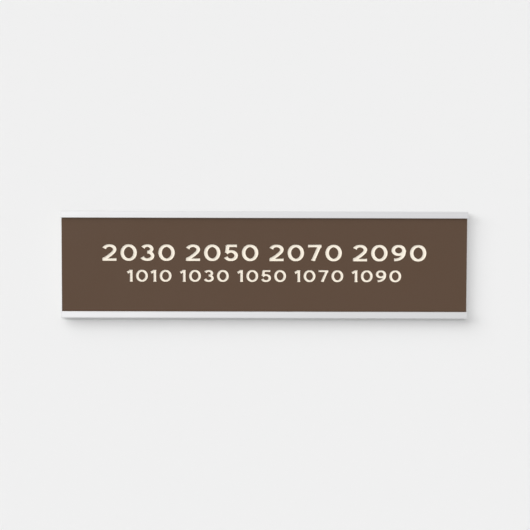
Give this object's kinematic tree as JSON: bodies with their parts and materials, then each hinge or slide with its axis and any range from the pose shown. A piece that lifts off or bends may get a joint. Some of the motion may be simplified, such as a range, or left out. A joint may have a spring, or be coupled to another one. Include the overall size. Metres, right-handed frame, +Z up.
{
  "type": "door name plate",
  "caption": "Door name plate: an aluminium channel on foam pads and countersunk screws, with an engraved two-ply plastic insert that slides out sideways.",
  "frame": {"origin": "middle of the plate on the surface of the door, which is the centre of the centre foam pad's wall face", "axes": "+X along the plate to the reader's right, +Y into the door, +Z up"},
  "size_m": [0.2032, 0.016, 0.0534],
  "materials": {
    "satin_aluminium": "clear satin anodised, fine extrusion lines along its length",
    "brown_face": "matte dark brown engraving-stock cap",
    "cream_core": "cream engraving-stock core",
    "white_foam": "closed-cell foam mounting pad, adhesive on both faces",
    "zinc_screw": "bright zinc plate"
  },
  "bodies": {
    "holder": {"channel": "satin_aluminium", "left_foam_pad": "white_foam", "centre_foam_pad": "white_foam", "right_foam_pad": "white_foam", "left_screw": "zinc_screw", "right_screw": "zinc_screw"},
    "insert": {"insert_core": "cream_core", "insert_face_ply": "brown_face"}
  },
  "joints": [
    {"name": "insert_slide", "type": "slide", "parent": "holder", "child": "insert", "axis": [1, 0, 0], "range_m": [-0.2029, 0.2029]}
  ]
}
